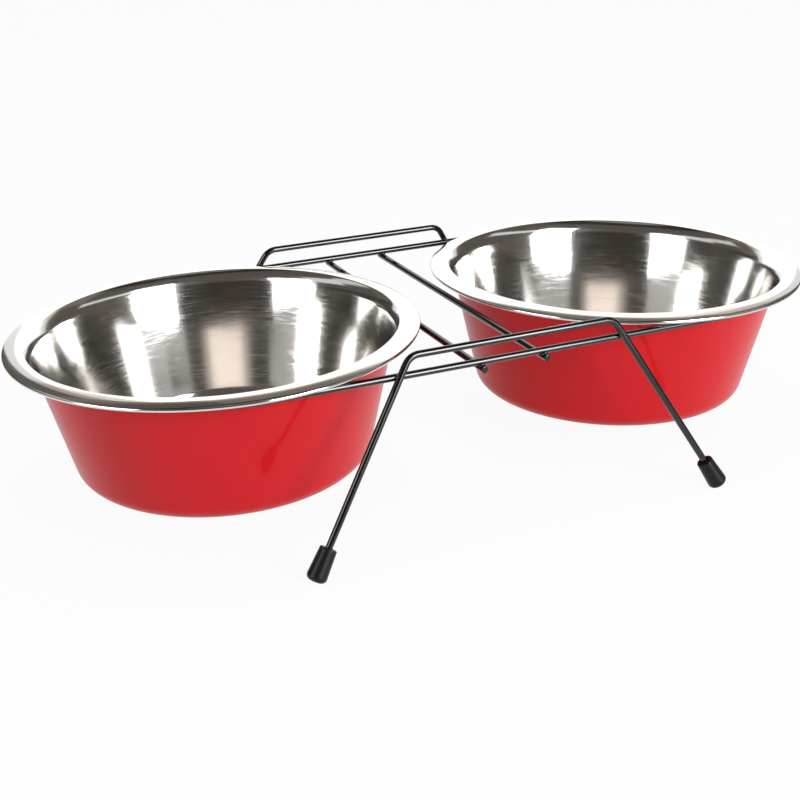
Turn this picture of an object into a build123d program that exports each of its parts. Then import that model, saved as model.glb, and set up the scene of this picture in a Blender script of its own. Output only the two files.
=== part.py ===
from build123d import *
from math import acos, asin, cos, radians, sin, sqrt, tan
import os

# Double pet bowl: two pressed steel bowls hang by their rims in a welded wire stand on rubber tips.
# Millimetres, +X to the right, +Y to the back, +Z up, origin on the floor midway between the bowls.

# Wire stand
wire_diameter = 3.5
rail_height = 86.1  # middle of the loop's wire above the floor
weld_set_down = 0.3  # how far two welded wires sink into each other
bar_span = 110.4  # between the corners of a leg frame's top bar, before they are rounded
bar_rise = 10.0  # top bar above the loop
bend_radius = 8.0
leg_splay = 31.0  # each leg out from upright, in the plane of its frame
leg_lean = 10.5  # each leg frame out from upright
crossbar_inset = 3.2  # crossbar in under the rim's inner edge
crossbar_overhang = 3.4  # crossbar past the middle of the loop's wire

# Bowls
rim_diameter = 210.0  # over the rolled edge
rim_gap = 27.8  # between the two rims
sheet = 0.7
bowl_depth = 70.0  # base underside up to the bottom of the rolled edge
wall_lean = 13.6
flange_width = 8.0  # crest of the crowned flange out to the middle of the rolled edge
flange_slope = 18.5  # how steeply the flange runs down into the rolled edge
corner_radius = 10.3  # base to wall, inside
neck_radius = 4.5  # wall to flange, over the rim's inner edge
curl_diameter = 2.1
curl_turn = 225.0
seat_gap = 0.3  # rim over the loop's wire
curl_play = 2.95  # loop's wire in from the rolled edge

# Rubber tips
tip_length = 16.5
tip_mouth_wall = 2.45
tip_flare = 0.95  # the tip's end is this much wider than its mouth, on the radius
tip_end_radius = 2.6
tip_lip_radius = 0.6
tip_floor = 4.0  # rubber below the end of the wire
tip_grip = 0.1  # the bore is this much tighter than the wire, on the radius
tip_contact = 0.6  # depth of the flat that the floor presses into the tip

# The inside of a bowl, in its own section: out from its axis, up from the bottom of its rolled edge
wire_radius = wire_diameter / 2
rim_radius = rim_diameter / 2
curl_radius = curl_diameter / 2
curl_ring_radius = rim_radius - curl_radius
loop_radius = rim_radius - curl_diameter - curl_play - wire_radius
slope = radians(flange_slope)
taper = radians(wall_lean)
crest_radius = curl_ring_radius - flange_width
crown_radius = curl_radius + flange_width / sin(slope)
crown_height = curl_radius - flange_width / tan(slope)  # centre of the flange's crown
flange_seat_height = crown_height + sqrt((crown_radius - sheet) ** 2 - (loop_radius - crest_radius) ** 2)
wall_top_radius = crest_radius - neck_radius * cos(taper)
wall_top_height = crown_height + crown_radius - neck_radius * (1 - sin(taper))
base_height = sheet - bowl_depth
base_radius = wall_top_radius - (wall_top_height - base_height) * tan(taper)

# The seat: the rolled edge lies across the straight rails, the flange lies on the loop's outer end,
# and the difference in height leans each bowl outwards a little
bowl_x = (rim_diameter + rim_gap) / 2
rail_crossing = sqrt(curl_ring_radius**2 - loop_radius**2)
bowl_lean = asin(flange_seat_height / (loop_radius + rail_crossing))
curl_height = rail_height + wire_radius + seat_gap - rail_crossing * sin(bowl_lean)

# The legs: each frame lies in a leaning plane that passes just outside the loop's wire
lean = radians(leg_lean)
splay = radians(leg_splay)
leg_tilt = acos(cos(lean) * cos(splay))
weld_distance = wire_diameter - weld_set_down
leg_plane_y = loop_radius + weld_distance * cos(lean)
leg_plane_height = rail_height + weld_distance * sin(lean)
tip_mouth_radius = wire_radius + tip_mouth_wall
tip_bore_radius = wire_radius - tip_grip
tip_radius = tip_mouth_radius + tip_flare
tip_end_drop = (tip_radius - tip_end_radius) * sin(leg_tilt) + tip_end_radius * (1 - cos(leg_tilt))
tip_end_height = tip_end_drop - tip_contact
bar_u = bar_span / 2
bar_v = (rail_height + bar_rise - leg_plane_height) / cos(lean)
tip_end_v = (tip_end_height - leg_plane_height) / cos(lean)
tip_end_u = bar_u + (bar_v - tip_end_v) * tan(splay)
wire_end_u = tip_end_u - tip_floor * sin(splay)
wire_end_v = tip_end_v + tip_floor * cos(splay)

ends = {"front": -1, "back": 1}
sides = {"left": -1, "right": 1}
leg_planes = {
    end: Plane(
        origin=(0, facing * leg_plane_y, leg_plane_height),
        x_dir=(-facing, 0, 0),
        z_dir=(0, facing * cos(lean), sin(lean)),
    )
    for end, facing in ends.items()
}

os.makedirs("parts", exist_ok=True)

# Bowls: one sheet each, pressed to a tapered wall, a crowned flange and a rolled edge
for side, sign in sides.items():
    section = Plane(
        origin=(sign * bowl_x, 0, curl_height),
        x_dir=(sign * cos(bowl_lean), 0, -sin(bowl_lean)),
        z_dir=(0, -sign, 0),
    )
    with BuildPart() as bowl:
        with BuildSketch(section):
            with BuildLine():
                pressing = FilletPolyline(
                    (0, base_height),
                    (base_radius, base_height),
                    (wall_top_radius, wall_top_height),
                    radius=corner_radius,
                )
                neck = JernArc(pressing @ 1, pressing % 1, neck_radius, wall_lean - 90)
                flange = JernArc(neck @ 1, neck % 1, crown_radius, -flange_slope)
                JernArc(flange @ 1, flange % 1, curl_radius, -curl_turn)
                offset(amount=sheet, side=Side.RIGHT)
            make_face()
        revolve(axis=Axis(section.origin, section.y_dir))
    bowl.part.label = f"{side}_bowl"
    export_step(bowl.part, f"parts/{side}_bowl.step")

# Support loop: one wire, straight along the front and back, round under each rim
with BuildPart() as support_loop:
    with BuildLine(Plane.XY.offset(rail_height)) as loop_path:
        front_rail = Line((-bowl_x, -loop_radius), (bowl_x, -loop_radius))
        CenterArc((bowl_x, 0), loop_radius, -90, 180)
        Line((bowl_x, loop_radius), (-bowl_x, loop_radius))
        CenterArc((-bowl_x, 0), loop_radius, 90, 180)
    with BuildSketch(Plane(origin=front_rail @ 0, z_dir=front_rail % 0)):
        Circle(wire_radius)
    sweep(path=loop_path.wire())
support_loop.part.label = "support_loop"
export_step(support_loop.part, "parts/support_loop.step")

# Leg frames: one wire each, bent twice, from one foot over the top bar to the other foot
for end, leg_plane in leg_planes.items():
    with BuildPart() as leg_frame:
        with BuildLine(leg_plane):
            bent_wire = FilletPolyline(
                (-wire_end_u, wire_end_v),
                (-bar_u, bar_v),
                (bar_u, bar_v),
                (wire_end_u, wire_end_v),
                radius=bend_radius,
            )
        with BuildSketch(Plane(origin=bent_wire @ 0, z_dir=bent_wire % 0)):
            Circle(wire_radius)
        sweep()
    leg_frame.part.label = f"{end}_leg_frame"
    export_step(leg_frame.part, f"parts/{end}_leg_frame.step")

# Crossbars: straight wires welded under both rails, beneath the inner edges of the rims
for side, sign in sides.items():
    middle = (sign * (rim_gap / 2 + crossbar_inset), 0, rail_height - weld_distance)
    with BuildPart() as crossbar:
        with BuildSketch(Plane(origin=middle, z_dir=(0, 1, 0))):
            Circle(wire_radius)
        extrude(amount=loop_radius + crossbar_overhang, both=True)
    crossbar.part.label = f"{side}_crossbar"
    export_step(crossbar.part, f"parts/{side}_crossbar.step")

# Feet: flared rubber tips pushed on to the leg ends, pressed flat where they stand
for end, leg_plane in leg_planes.items():
    for side, sign in sides.items():
        hand = -ends[end] * sign
        tip_end = leg_plane.from_local_coords(Vector(hand * tip_end_u, tip_end_v))
        leg_top = leg_plane.from_local_coords(Vector(hand * bar_u, bar_v))
        leg_up = (leg_top - tip_end).normalized()
        section = Plane(origin=tip_end, x_dir=leg_up.cross(leg_plane.z_dir), z_dir=leg_plane.z_dir)
        with BuildPart() as foot:
            with BuildSketch(section):
                with BuildLine():
                    outline = FilletPolyline(
                        (0, 0),
                        (tip_radius, 0),
                        (tip_mouth_radius, tip_length),
                        (tip_bore_radius, tip_length),
                        (tip_bore_radius, tip_floor),
                        (0, tip_floor),
                        radius=(tip_end_radius, tip_lip_radius, tip_lip_radius, 0),
                    )
                    Line(outline @ 1, outline @ 0)
                make_face()
            revolve(axis=Axis(tip_end, leg_up))
            split(bisect_by=Plane.XY, keep=Keep.TOP)
        foot.part.label = f"foot_{end}_{side}"
        export_step(foot.part, f"parts/foot_{end}_{side}.step")
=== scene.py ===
from math import asin, atan2, ceil, cos, pi, radians, sin, sqrt, tan

import bmesh
import bpy
from mathutils import Matrix, Vector


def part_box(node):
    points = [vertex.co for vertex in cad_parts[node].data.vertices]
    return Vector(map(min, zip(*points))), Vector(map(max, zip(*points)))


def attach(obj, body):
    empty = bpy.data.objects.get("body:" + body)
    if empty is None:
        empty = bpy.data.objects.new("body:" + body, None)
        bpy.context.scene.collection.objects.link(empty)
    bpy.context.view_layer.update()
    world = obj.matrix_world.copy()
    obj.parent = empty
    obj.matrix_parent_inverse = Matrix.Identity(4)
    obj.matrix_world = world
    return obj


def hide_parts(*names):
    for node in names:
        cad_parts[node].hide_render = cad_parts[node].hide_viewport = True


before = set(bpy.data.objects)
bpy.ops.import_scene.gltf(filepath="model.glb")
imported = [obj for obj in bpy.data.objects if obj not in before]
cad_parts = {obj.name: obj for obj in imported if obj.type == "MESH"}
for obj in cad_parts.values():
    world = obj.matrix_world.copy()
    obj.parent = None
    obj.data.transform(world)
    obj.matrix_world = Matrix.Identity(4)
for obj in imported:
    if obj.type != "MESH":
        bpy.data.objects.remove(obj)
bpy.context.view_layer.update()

# A double pet bowl: two pressed steel bowls, satin inside and lacquered red outside, hang by
# their rims in a black wire stand on rubber tips.
# Metres, +X to the right, +Y to the back, +Z up. mm turns a size in millimetres into metres.

mm = 0.001
sides = {"left": -1, "right": 1}
ends = {"front": -1, "back": 1}

# The stand: wires measured as packed, bends as drawn
loop_low, loop_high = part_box("support_loop")
wire_radius = (loop_high.z - loop_low.z) / 2
rail_height = (loop_high.z + loop_low.z) / 2
loop_radius = (loop_high.y - loop_low.y) / 2 - wire_radius
crossbar_low, crossbar_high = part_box("right_crossbar")
crossbar_x = (crossbar_low.x + crossbar_high.x) / 2
crossbar_height = (crossbar_low.z + crossbar_high.z) / 2
bar_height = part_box("front_leg_frame")[1].z - wire_radius
weld_distance = rail_height - crossbar_height  # between the middles of two welded wires
bar_span = 110.4 * mm
leg_splay = radians(31.0)
leg_lean = radians(10.5)

# The bowls: rim and place measured as packed, the sheet's own sizes as pressed
bowl_low, bowl_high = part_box("right_bowl")
rim_radius = (bowl_high.y - bowl_low.y) / 2
bowl_x = (bowl_high.x + bowl_low.x) / 2
sheet = 0.7 * mm
bowl_depth = 70.0 * mm
wall_lean = radians(13.6)
flange_width = 8.0 * mm
flange_slope = radians(18.5)
corner_radius = 10.3 * mm
neck_radius = 4.5 * mm
curl_radius = 1.05 * mm
curl_turn = radians(225.0)
seat_gap = 0.3 * mm
lacquer_thickness = 0.12 * mm
lacquer_lift = 0.01 * mm  # keeps the coat's back off the steel, so no two faces lie in one place
lacquer_edge = 3.0 * mm  # bare steel under the flange, in from the rolled edge

# The inside of a bowl, in its own section: out from its axis, up from the bottom of its rolled edge
curl_ring_radius = rim_radius - curl_radius
crest_radius = curl_ring_radius - flange_width
crown_radius = curl_radius + flange_width / sin(flange_slope)
crown_height = curl_radius - flange_width / tan(flange_slope)
crest_height = crown_height + crown_radius
wall_top_radius = crest_radius - neck_radius * cos(wall_lean)
wall_top_height = crest_height - neck_radius * (1 - sin(wall_lean))
base_height = sheet - bowl_depth
base_radius = wall_top_radius - (wall_top_height - base_height) * tan(wall_lean)

# The rim's inner edge as it shows in reflections: the wall eases out over a soft shoulder and turns
# into the flange over a tighter nose, which keeps the wall and the crest where they are
shoulder_radius = 14.0 * mm
shoulder_end = radians(45.0)
shoulder_out = shoulder_radius * (cos(wall_lean) - cos(shoulder_end))
shoulder_up = shoulder_radius * (sin(shoulder_end) - sin(wall_lean))
wall_left_over = crest_height - wall_top_height - shoulder_up
nose_out = crest_radius - wall_top_radius - wall_left_over * tan(wall_lean) - shoulder_out
nose_radius = nose_out / (cos(shoulder_end) - (1 - sin(shoulder_end)) * tan(wall_lean))

# The seat: the rolled edge lies on the straight rails and the flange on the loop's outer end,
# so each bowl leans outwards a little
flange_under_radius = crown_radius - sheet
flange_seat_height = crown_height + sqrt(flange_under_radius**2 - (loop_radius - crest_radius)**2)
rail_crossing = sqrt(curl_ring_radius**2 - loop_radius**2)
bowl_lean = asin(flange_seat_height / (loop_radius + rail_crossing))
curl_height = rail_height + wire_radius + seat_gap - rail_crossing * sin(bowl_lean)


# Nodes and colours

def colour(hex_code):
    """An sRGB hex colour as the linear colour that a shader takes."""
    channels = [int(hex_code[i:i + 2], 16) / 255 for i in (0, 2, 4)]
    return [c / 12.92 if c <= 0.04045 else ((c + 0.055) / 1.055) ** 2.4 for c in channels] + [1.0]


def add(tree, kind, inputs=None, **settings):
    """Adds a node. Each input takes another node's output as a link, anything else as its value."""
    node = tree.nodes.new(kind)
    for name, value in settings.items():
        setattr(node, name, value)
    for name, value in (inputs or {}).items():
        if isinstance(value, bpy.types.NodeSocket):
            tree.links.new(value, node.inputs[name])
        else:
            node.inputs[name].default_value = value
    return node


def blank_material(name):
    made = bpy.data.materials.new(name)
    made.use_nodes = True
    made.node_tree.nodes.clear()
    return made, made.node_tree


# Materials

def spun_steel(name, ring_spacing, ring_length, dull, bright, ring_depth):
    """Stainless steel finished while it spun: fine rings run round the bowl, so a light's image
    blurs and is drawn out a little up and down the wall."""
    made, tree = blank_material(name)
    place = add(tree, "ShaderNodeTexCoord").outputs["Object"]
    axes = add(tree, "ShaderNodeSeparateXYZ", {"Vector": place}).outputs
    level = add(tree, "ShaderNodeCombineXYZ", {"X": axes["X"], "Y": axes["Y"]}).outputs[0]
    radius = add(tree, "ShaderNodeVectorMath", {0: level}, operation="LENGTH").outputs["Value"]
    heading = add(tree, "ShaderNodeVectorMath", {0: level}, operation="NORMALIZE").outputs[0]
    up_wall = add(tree, "ShaderNodeMath", {0: radius, 1: axes["Z"]}, operation="ADD").outputs[0]
    rows = add(tree, "ShaderNodeMath", {0: up_wall, 1: 1 / ring_spacing}, operation="MULTIPLY")
    turns = add(
        tree, "ShaderNodeVectorMath", {0: heading, "Scale": crest_radius / ring_length},
        operation="SCALE",
    )
    lift = add(tree, "ShaderNodeCombineXYZ", {"Z": rows.outputs[0]})
    ring_place = add(tree, "ShaderNodeVectorMath", {0: turns.outputs[0], 1: lift.outputs[0]})
    rings = add(
        tree, "ShaderNodeTexNoise",
        {"Vector": ring_place.outputs[0], "Scale": 1.0, "Detail": 4.0, "Roughness": 0.65},
    ).outputs[0]
    # Handling leaves cloudy patches about 30 mm across
    clouds = add(
        tree, "ShaderNodeTexNoise", {"Vector": place, "Scale": 1 / (30 * mm), "Detail": 3.0}
    ).outputs[0]
    ring_gloss = add(
        tree, "ShaderNodeMapRange",
        {"Value": rings, "From Min": 0.45, "From Max": 0.8, "To Min": bright, "To Max": dull},
    ).outputs[0]
    cloud_gloss = add(
        tree, "ShaderNodeMapRange",
        {"Value": clouds, "From Min": 0.35, "From Max": 0.65, "To Min": 0.9, "To Max": 1.12},
    ).outputs[0]
    gloss = add(tree, "ShaderNodeMath", {0: ring_gloss, 1: cloud_gloss}, operation="MULTIPLY")
    tone = add(
        tree, "ShaderNodeMix",
        {0: rings, 6: colour("d2d0cd"), 7: colour("dedcd9")}, data_type="RGBA",
    )
    bump = add(
        tree, "ShaderNodeBump", {"Height": rings, "Strength": 0.15, "Distance": ring_depth}
    )
    tangent = add(tree, "ShaderNodeTangent", direction_type="RADIAL", axis="Z")
    surface = add(tree, "ShaderNodeBsdfPrincipled", {
        "Base Color": tone.outputs[2],
        "Metallic": 1.0,
        "Roughness": gloss.outputs[0],
        "Anisotropic": 0.1,
        "Anisotropic Rotation": 0.25,
        "Tangent": tangent.outputs[0],
        "Normal": bump.outputs[0],
    })
    add(tree, "ShaderNodeOutputMaterial", {"Surface": surface.outputs[0]})
    return made


def red_lacquer():
    """Stoving lacquer sprayed on steel: a saturated red under a clear, level gloss that shows the
    floor and the legs, with the faint ripple of sprayed paint."""
    made, tree = blank_material("sprayed_red_stoving_lacquer")
    place = add(tree, "ShaderNodeTexCoord").outputs["Object"]
    # The spray's drift: soft patches about 40 mm across
    drift = add(
        tree, "ShaderNodeTexNoise", {"Vector": place, "Scale": 1 / (40 * mm), "Detail": 2.0}
    ).outputs[0]
    tone = add(
        tree, "ShaderNodeMix",
        {0: drift, 6: colour("c4141c"), 7: colour("d01a22")}, data_type="RGBA",
    )
    # Ripple of the sprayed coat, about 3 mm from crest to crest
    ripple = add(
        tree, "ShaderNodeTexNoise", {"Vector": place, "Scale": 1 / (3 * mm), "Detail": 1.0}
    ).outputs[0]
    bump = add(
        tree, "ShaderNodeBump", {"Height": ripple, "Strength": 0.25, "Distance": 0.01 * mm}
    ).outputs[0]
    satin = add(
        tree, "ShaderNodeMapRange", {"Value": drift, "To Min": 0.32, "To Max": 0.4}
    ).outputs[0]
    surface = add(tree, "ShaderNodeBsdfPrincipled", {
        "Base Color": tone.outputs[2],
        "Roughness": satin,
        "IOR": 1.5,
        "Specular IOR Level": 0.06,
        "Coat Weight": 0.28,
        "Coat Roughness": 0.06,
        "Coat IOR": 1.5,
        "Normal": bump,
        "Coat Normal": bump,
    })
    add(tree, "ShaderNodeOutputMaterial", {"Surface": surface.outputs[0]})
    return made


def black_wire_coat():
    """Black enamel dipped on drawn wire: deep black with a narrow bright line along each wire, and
    a slightly uneven skin."""
    made, tree = blank_material("dipped_black_enamel_on_wire")
    place = add(tree, "ShaderNodeTexCoord").outputs["Object"]
    # Uneven skin of the dip, lumps about 1.5 mm long
    lumps = add(
        tree, "ShaderNodeTexNoise", {"Vector": place, "Scale": 1 / (1.5 * mm), "Detail": 2.0}
    ).outputs[0]
    # Wear from handling, in patches about 9 mm long
    wear = add(
        tree, "ShaderNodeTexNoise", {"Vector": place, "Scale": 1 / (9 * mm), "Detail": 4.0}
    ).outputs[0]
    tone = add(
        tree, "ShaderNodeMix",
        {0: wear, 6: colour("070708"), 7: colour("101011")}, data_type="RGBA",
    )
    gloss = add(
        tree, "ShaderNodeMapRange",
        {"Value": wear, "From Min": 0.35, "From Max": 0.7, "To Min": 0.05, "To Max": 0.12},
    ).outputs[0]
    bump = add(
        tree, "ShaderNodeBump", {"Height": lumps, "Strength": 0.15, "Distance": 0.03 * mm}
    )
    surface = add(tree, "ShaderNodeBsdfPrincipled", {
        "Base Color": tone.outputs[2],
        "Roughness": gloss,
        "IOR": 1.55,
        "Normal": bump.outputs[0],
    })
    add(tree, "ShaderNodeOutputMaterial", {"Surface": surface.outputs[0]})
    return made


def moulded_rubber():
    """Carbon-filled rubber from a blasted mould: near black, a soft sheen and a fine matt grain."""
    made, tree = blank_material("moulded_dark_rubber")
    place = add(tree, "ShaderNodeTexCoord").outputs["Object"]
    # The mould's grain is about 0.1 mm; drawn at 0.5 mm so that it shows
    grain = add(
        tree, "ShaderNodeTexNoise", {"Vector": place, "Scale": 1 / (0.5 * mm), "Detail": 3.0}
    ).outputs[0]
    # Bloom on the skin, in patches about 5 mm across
    bloom = add(
        tree, "ShaderNodeTexNoise", {"Vector": place, "Scale": 1 / (5 * mm), "Detail": 3.0}
    ).outputs[0]
    tone = add(
        tree, "ShaderNodeMix",
        {0: bloom, 6: colour("0c0c0d"), 7: colour("161617")}, data_type="RGBA",
    )
    gloss = add(
        tree, "ShaderNodeMapRange", {"Value": bloom, "To Min": 0.28, "To Max": 0.42}
    ).outputs[0]
    bump = add(
        tree, "ShaderNodeBump", {"Height": grain, "Strength": 0.4, "Distance": 0.04 * mm}
    )
    surface = add(tree, "ShaderNodeBsdfPrincipled", {
        "Base Color": tone.outputs[2],
        "Roughness": gloss,
        "IOR": 1.52,
        "Specular IOR Level": 0.2,
        "Normal": bump.outputs[0],
    })
    add(tree, "ShaderNodeOutputMaterial", {"Surface": surface.outputs[0]})
    return made


# The rings of both finishes are about 0.2 mm apart; drawn at 0.5 mm so that they show
drawn_ring_spacing = 0.5 * mm
satin_steel = spun_steel(
    "satin_spun_stainless_steel", drawn_ring_spacing, 15 * mm,
    dull=0.24, bright=0.09, ring_depth=0.006 * mm,
)
polished_steel = spun_steel(
    "polished_spun_stainless_steel", drawn_ring_spacing, 40 * mm,
    dull=0.18, bright=0.08, ring_depth=0.004 * mm,
)
lacquer = red_lacquer()
wire_coat = black_wire_coat()
rubber = moulded_rubber()


# Sections and turned shapes

on_axis = 0.01 * mm  # a point nearer the axis than this lies on it


def arc(centre, radius, from_angle, turn, steps):
    angles = [from_angle + turn * step / steps for step in range(steps + 1)]
    return [centre + Vector((cos(angle), sin(angle))) * radius for angle in angles]


def rounded_line(points, radii, steps):
    """Straight runs through the points, with each inner corner rounded to its radius."""
    line = [Vector(points[0])]
    for before, corner, after, radius in zip(points, points[1:], points[2:], radii):
        corner = Vector(corner)
        back = (Vector(before) - corner).normalized()
        onward = (Vector(after) - corner).normalized()
        half = back.angle(onward) / 2
        centre = corner + (back + onward).normalized() * radius / sin(half)
        start = corner + back * radius / tan(half) - centre
        end = corner + onward * radius / tan(half) - centre
        from_angle = atan2(start.y, start.x)
        turn = (atan2(end.y, end.x) - from_angle + pi) % (2 * pi) - pi
        line += arc(centre, radius, from_angle, turn, steps)
    return line + [Vector(points[-1])]


def divided(line, longest):
    """The same line with points added, so that no run is longer than this."""
    fine = [line[0]]
    for start, end in zip(line, line[1:]):
        count = ceil((end - start).length / longest)
        fine += [start.lerp(end, (step + 1) / count) for step in range(count)]
    return fine


def moved_left(line, distance):
    """The line moved sideways to its left."""
    moved = []
    for i, point in enumerate(line):
        along = line[min(i + 1, len(line) - 1)] - line[max(i - 1, 0)]
        moved.append(point + Vector((-along.y, along.x)).normalized() * distance)
    return moved


def finished_mesh(name, bm):
    mesh = bpy.data.meshes.new(name)
    bm.to_mesh(mesh)
    bm.free()
    return mesh


def new_object(name, data):
    made = bpy.data.objects.new(name, data)
    bpy.context.collection.objects.link(made)
    return made


def turned(name, outline, around, materials, pick_material):
    """A solid of revolution about Z. Its outline starts and ends on the axis, and pick_material
    gives the material's place in the list for the middle of a run."""
    bm = bmesh.new()
    angles = [2 * pi * step / around for step in range(around)]
    rings = []
    for radius, height in outline:
        if radius < on_axis:
            rings.append([bm.verts.new((0, 0, height))] * around)
        else:
            rings.append([bm.verts.new((radius * cos(a), radius * sin(a), height)) for a in angles])
    for i, (ring, next_ring) in enumerate(zip(rings, rings[1:])):
        material_place = pick_material((outline[i] + outline[i + 1]) / 2)
        for step in range(around):
            after = (step + 1) % around
            corners = (ring[step], ring[after], next_ring[after], next_ring[step])
            face = bm.faces.new(list(dict.fromkeys(corners)))
            face.smooth = True
            face.material_index = material_place
    bmesh.ops.recalc_face_normals(bm, faces=bm.faces)
    mesh = finished_mesh(name, bm)
    for item in materials:
        mesh.materials.append(item)
    return new_object(name, mesh)


# Bowls: one sheet each, pressed to a tapered wall, a crowned flange and a rolled edge
around_bowl = 240
longest_run = 5.0 * mm
corner_steps = 12
shoulder_steps = 16
nose_steps = 12
flange_steps = 10
curl_steps = 28
nose_centre = Vector((crest_radius, crest_height - nose_radius))
to_shoulder_centre = Vector((cos(shoulder_end), -sin(shoulder_end)))
shoulder_centre = nose_centre + to_shoulder_centre * (shoulder_radius - nose_radius)
flange_centre = Vector((crest_radius, crown_height))
curl_centre = Vector((curl_ring_radius, curl_radius))

shoulder = arc(
    shoulder_centre, shoulder_radius, pi - wall_lean, wall_lean - shoulder_end, shoulder_steps
)
nose = arc(nose_centre, nose_radius, pi - shoulder_end, shoulder_end - pi / 2, nose_steps)
flange = arc(flange_centre, crown_radius, pi / 2, -flange_slope, flange_steps)
curl = arc(curl_centre, curl_radius, pi / 2 - flange_slope, -curl_turn, curl_steps)
cup_corners = [(0, base_height), (base_radius, base_height), shoulder[0]]
cup = divided(rounded_line(cup_corners, [corner_radius], corner_steps), longest_run)
to_crest = cup[:-1] + shoulder[:-1] + nose[:-1]
inside = to_crest + flange[:-1] + curl
bowl_outline = moved_left(inside, -sheet) + inside[::-1]
coated = [point for point in to_crest + flange if point.x < curl_ring_radius - lacquer_edge]
coat_outside = moved_left(coated, -sheet - lacquer_thickness)
coat_back = moved_left(coated, -sheet - lacquer_lift)
lacquer_outline = coat_outside + coat_back[::-1]
brightened = crest_radius - neck_radius / 2  # the rim is polished from here out

for side, sign in sides.items():
    seat = Matrix.Translation((sign * bowl_x, 0, curl_height))
    seat = seat @ Matrix.Rotation(sign * bowl_lean, 4, "Y")
    steel = turned(
        f"{side}_bowl_steel", bowl_outline, around_bowl, [satin_steel, polished_steel],
        lambda middle: 1 if middle.x > brightened else 0,
    )
    coat = turned(
        f"{side}_bowl_lacquer", lacquer_outline, around_bowl, [lacquer], lambda middle: 0
    )
    steel.matrix_world = seat
    coat.matrix_world = seat
    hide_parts(f"{side}_bowl")
    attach(steel, f"{side}_bowl")
    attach(coat, f"{side}_bowl")


# Welds: where two wires cross, their metal has run together into a small bead under the coat
stub_length = 7.0 * mm
stub_radius = wire_radius * 0.97  # the stubs stay inside the wires, so only the bead shows
stub_sides = 32
nugget_radius = 1.75 * mm
nugget_flatness = 0.8
nugget_splits = 3
skin_cell = 0.22 * mm
smoothing_share = 0.5
smoothing_rounds = 14


def lying(place, along):
    """The placement that puts a shape's own Z along this direction."""
    return Matrix.Translation(place) @ along.to_track_quat("Z", "Y").to_matrix().to_4x4()


def weld(name, place, first_along, second_along, apart):
    """The bead at place, between a wire on one side of it and a wire on the other."""
    bm = bmesh.new()
    for along, way in ((first_along, -1), (second_along, 1)):
        bmesh.ops.create_cone(
            bm, cap_ends=True, segments=stub_sides, radius1=stub_radius, radius2=stub_radius,
            depth=stub_length, matrix=lying(place + apart * way * weld_distance / 2, along),
        )
    flat = lying(place, apart) @ Matrix.Diagonal((1, 1, nugget_flatness, 1))
    bmesh.ops.create_icosphere(bm, subdivisions=nugget_splits, radius=nugget_radius, matrix=flat)
    rough = finished_mesh(name, bm)
    piece = new_object(name, rough)
    skin = piece.modifiers.new("one skin", "REMESH")
    skin.mode = "VOXEL"
    skin.voxel_size = skin_cell
    run = piece.modifiers.new("run together", "SMOOTH")
    run.factor = smoothing_share
    run.iterations = smoothing_rounds
    depsgraph = bpy.context.evaluated_depsgraph_get()
    piece.data = bpy.data.meshes.new_from_object(piece.evaluated_get(depsgraph))
    piece.modifiers.clear()
    bpy.data.meshes.remove(rough)
    piece.data.name = name
    piece.data.shade_smooth()
    piece.data.materials.append(wire_coat)
    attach(piece, "stand")


rail_along = Vector((1, 0, 0))
crossbar_along = Vector((0, 1, 0))
down = Vector((0, 0, -1))
leg_run = (bar_height - rail_height - weld_distance * sin(leg_lean)) / cos(leg_lean)
leg_x = bar_span / 2 + leg_run * tan(leg_splay)
for end, facing in ends.items():
    outward = Vector((0, facing * cos(leg_lean), sin(leg_lean)))
    downward = Vector((0, facing * sin(leg_lean), -cos(leg_lean)))
    rail = Vector((0, facing * loop_radius, rail_height))
    for side, sign in sides.items():
        leg_along = rail_along * sign * sin(leg_splay) + downward * cos(leg_splay)
        weld(
            f"weld_{end}_{side}_leg",
            rail + rail_along * sign * leg_x + outward * weld_distance / 2,
            rail_along, leg_along, outward,
        )
        weld(
            f"weld_{end}_{side}_crossbar",
            rail + rail_along * sign * crossbar_x + down * weld_distance / 2,
            rail_along, crossbar_along, down,
        )


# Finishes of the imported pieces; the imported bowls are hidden, since the turned ones stand for them
for name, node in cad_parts.items():
    if name.startswith("foot"):
        finish = rubber
    elif name.endswith("bowl"):
        finish = satin_steel
    else:
        finish = wire_coat
    node.data.materials.clear()
    node.data.materials.append(finish)


# Studio: a white floor, soft lamps, and boards that only the gloss shows

scene = bpy.context.scene
scene.view_settings.view_transform = "Standard"

camera_place = Vector((-288.88, -617.97, 308.65)) * mm
camera_turn = (radians(67.58), radians(1.25), radians(-24.29))
sensor_width = 36.0  # in millimetres, as the lens is
lens_length = 59.286
camera = new_object("camera", bpy.data.cameras.new("camera"))
camera.location = camera_place
camera.rotation_euler = camera_turn
camera.data.sensor_width = sensor_width
camera.data.lens = lens_length
scene.camera = camera

room_light = 0.42  # strength of the even light from all round
glow_share = 0.94  # share of plain white in the floor; the rest takes light and shadow


def white_rays(tree):
    """1 for the rays that see plain white: the camera's, and those sent on by gloss or glass."""
    rays = add(tree, "ShaderNodeLightPath").outputs
    direct = add(
        tree, "ShaderNodeMath", {0: rays["Is Camera Ray"], 1: rays["Is Glossy Ray"]},
        operation="MAXIMUM",
    ).outputs[0]
    return add(
        tree, "ShaderNodeMath", {0: direct, 1: rays["Is Transmission Ray"]}, operation="MAXIMUM"
    ).outputs[0]


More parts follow.
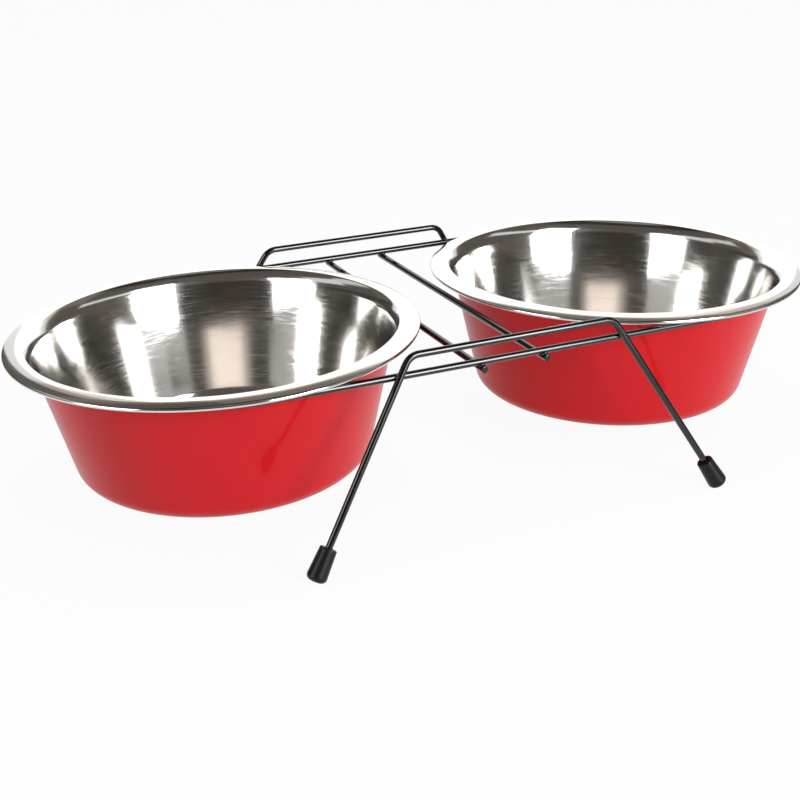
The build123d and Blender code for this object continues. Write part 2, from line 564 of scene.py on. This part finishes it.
def white_studio():
    """The room: plain white where it is seen, and a weak even light from all round."""
    made = bpy.data.worlds.new("studio")
    made.use_nodes = True
    tree = made.node_tree
    tree.nodes.clear()
    room = add(tree, "ShaderNodeBackground", {"Color": colour("ffffff"), "Strength": room_light})
    backdrop = add(tree, "ShaderNodeBackground", {"Color": colour("ffffff"), "Strength": 1.0})
    sky = add(
        tree, "ShaderNodeMixShader",
        {0: white_rays(tree), 1: room.outputs[0], 2: backdrop.outputs[0]},
    )
    add(tree, "ShaderNodeOutputWorld", {"Surface": sky.outputs[0]})
    return made


def white_paper():
    """Matt white background paper: it takes the object's soft shadow and is white in the open."""
    made, tree = blank_material("matt_white_paper")
    place = add(tree, "ShaderNodeTexCoord").outputs["Object"]
    # Paper's cloudiness, about 60 mm across
    clouds = add(
        tree, "ShaderNodeTexNoise", {"Vector": place, "Scale": 1 / (60 * mm), "Detail": 2.0}
    ).outputs[0]
    tone = add(
        tree, "ShaderNodeMix",
        {0: clouds, 6: colour("f5f5f4"), 7: colour("f8f8f7")}, data_type="RGBA",
    )
    matt = add(tree, "ShaderNodeBsdfPrincipled", {
        "Base Color": tone.outputs[2], "Roughness": 0.95, "Specular IOR Level": 0.1,
    })
    glow = add(tree, "ShaderNodeEmission", {"Color": colour("ffffff"), "Strength": 1.0})
    share = add(
        tree, "ShaderNodeMath", {0: white_rays(tree), 1: glow_share}, operation="MULTIPLY"
    )
    mixed = add(
        tree, "ShaderNodeMixShader", {0: share.outputs[0], 1: matt.outputs[0], 2: glow.outputs[0]}
    )
    add(tree, "ShaderNodeOutputMaterial", {"Surface": mixed.outputs[0]})
    return made


scene.world = white_studio()

floor_radius = 6.0
floor_sides = 96
floor_drop = 0.05 * mm
bm = bmesh.new()
bmesh.ops.create_circle(
    bm, cap_ends=True, segments=floor_sides, radius=floor_radius,
    matrix=Matrix.Translation((0, 0, -floor_drop)),
)
floor = new_object("floor", finished_mesh("floor", bm))
floor.data.materials.append(white_paper())

ahead = Vector((sin(-camera_turn[2]), cos(-camera_turn[2]), 0))
to_right = Vector((ahead.y, -ahead.x, 0))


def studio_way(bearing, height):
    """The direction at this bearing, clockwise from where the camera looks, and this height, in
    degrees."""
    level = ahead * cos(radians(bearing)) + to_right * sin(radians(bearing))
    return level * cos(radians(height)) + Vector((0, 0, sin(radians(height))))


# Boards all round the object, edge to edge: first and last bearing, lowest and highest edge, all in
# degrees, then tint and strength
board_distance = 1.7
board_cell = 6.0  # degrees
boards = {
    "softbox_front_left": (-143, -114, -2, 33, "ffffff", 5.5),
    "softbox_front_right": (119, 150, -2, 40, "ffffff", 8.0),
    "lit_backdrop": (-30, 30, -2, 30, "ffffff", 1.5),
    "backdrop_edge_left": (-36, -30, -2, 30, "ffffff", 1.0),
    "backdrop_edge_right": (30, 36, -2, 30, "ffffff", 0.95),
    "warm_panel": (-24, 24, 30, 42, "fff3ea", 2.15),
    "warm_panel_edge_left": (-30, -24, 30, 42, "fff3ea", 1.05),
    "warm_panel_edge_right": (24, 30, 30, 42, "fff3ea", 1.25),
    "warm_panel_fade_left": (-36, -30, 30, 42, "fff3ea", 0.5),
    "warm_panel_fade_right": (30, 37, 30, 42, "fff3ea", 0.75),
    "warm_panel_top": (-18, 30, 42, 45, "fff3ea", 0.95),
    "white_wall_left": (-114, -85, 27, 40, "ffffff", 0.85),
    "white_wall_far_left": (-85, -56, 32, 43, "ffffff", 0.75),
    "white_wall_right": (70, 119, 31, 38, "ffffff", 0.95),
    "dark_room_in_front": (150, 217, -2, 24, "403b36", 1.0),
    "dark_room_over_front": (150, 217, 24, 62, "5f5a55", 1.0),
    "dark_room_low_left": (-114, -36, -2, 16, "4a4540", 1.0),
    "dark_room_left": (-114, -85, 16, 27, "5f5a55", 1.0),
    "dark_room_far_left": (-85, -56, 16, 32, "5f5a55", 1.0),
    "dark_room_low_right": (36, 119, -2, 16, "645e58", 1.0),
    "dark_room_right": (70, 119, 16, 31, "645e58", 1.0),
    "dark_corner_left": (-56, -36, 16, 42, "6c6660", 1.0),
    "dark_corner_right": (42, 70, 16, 42, "645e58", 1.0),
    "grey_corner_right": (37, 42, 30, 42, "8a837c", 1.0),
    "grey_corner_right_low": (36, 42, 16, 30, "756e68", 1.0),
    "dark_room_over_left_softbox": (-143, -114, 33, 62, "5f5a55", 1.0),
    "dark_room_over_left": (-114, -85, 40, 62, "5f5a55", 1.0),
    "dark_room_over_far_left": (-85, -56, 43, 62, "5f5a55", 1.0),
    "grey_wall_over_left": (-56, -18, 42, 48, "857e78", 1.0),
    "grey_wall_over_back": (-18, 30, 45, 48, "a8a19a", 1.0),
    "grey_wall_over_right": (30, 70, 42, 48, "857e78", 1.0),
    "dark_room_over_back_left": (-56, -18, 48, 62, "645e58", 1.0),
    "dark_room_over_back_right": (-18, 70, 48, 62, "857e78", 1.0),
    "dark_room_over_right": (70, 119, 38, 62, "5f5a55", 1.0),
    "dark_room_over_right_softbox": (119, 150, 40, 62, "5f5a55", 1.0),
    "dark_room_high": (-180, 180, 62, 76, "38342f", 1.0),
    "grey_ceiling": (-180, 180, 76, 90, "857f7a", 1.0),
}
for name, (from_bearing, to_bearing, lowest, highest, tint, strength) in boards.items():
    columns = ceil((to_bearing - from_bearing) / board_cell)
    rows = ceil((highest - lowest) / board_cell)
    bearings = [from_bearing + (to_bearing - from_bearing) * i / columns for i in range(columns + 1)]
    heights = [lowest + (highest - lowest) * i / rows for i in range(rows + 1)]
    bm = bmesh.new()
    grid = [
        [bm.verts.new(board_distance * studio_way(bearing, height)) for bearing in bearings]
        for height in heights
    ]
    for low_row, high_row in zip(grid, grid[1:]):
        for i in range(columns):
            bm.faces.new((low_row[i], low_row[i + 1], high_row[i + 1], high_row[i]))
    paint, tree = blank_material(name)
    glow = add(tree, "ShaderNodeEmission", {"Color": colour(tint), "Strength": strength})
    add(tree, "ShaderNodeOutputMaterial", {"Surface": glow.outputs[0]})
    board = new_object(name, finished_mesh(name, bm))
    board.data.materials.append(paint)
    board.visible_camera = False
    board.visible_diffuse = False
    board.visible_shadow = False
    board.visible_transmission = False

# Lamps: bearing and height in degrees, distance, width and height of the face in metres, watts
lamps = {
    "lamp_overhead": (0, 88, 1.7, 0.45, 0.3, 5.0),
    "lamp_front_left": (-129, 22, 1.7, 1.1, 1.2, 2.6),
    "lamp_front_right": (135, 22, 1.6, 0.55, 0.7, 15.5),
}
for name, (bearing, height, distance, width, tall, power) in lamps.items():
    lamp = new_object(name, bpy.data.lights.new(name, "AREA"))
    lamp.data.shape = "RECTANGLE"
    lamp.data.size = width
    lamp.data.size_y = tall
    lamp.data.energy = power
    way = studio_way(bearing, height)
    lamp.location = way * distance
    lamp.rotation_euler = way.to_track_quat("Z", "Y").to_euler()
    lamp.visible_glossy = name != "lamp_front_left"  # that softbox's face is a board

bpy.context.view_layer.update()
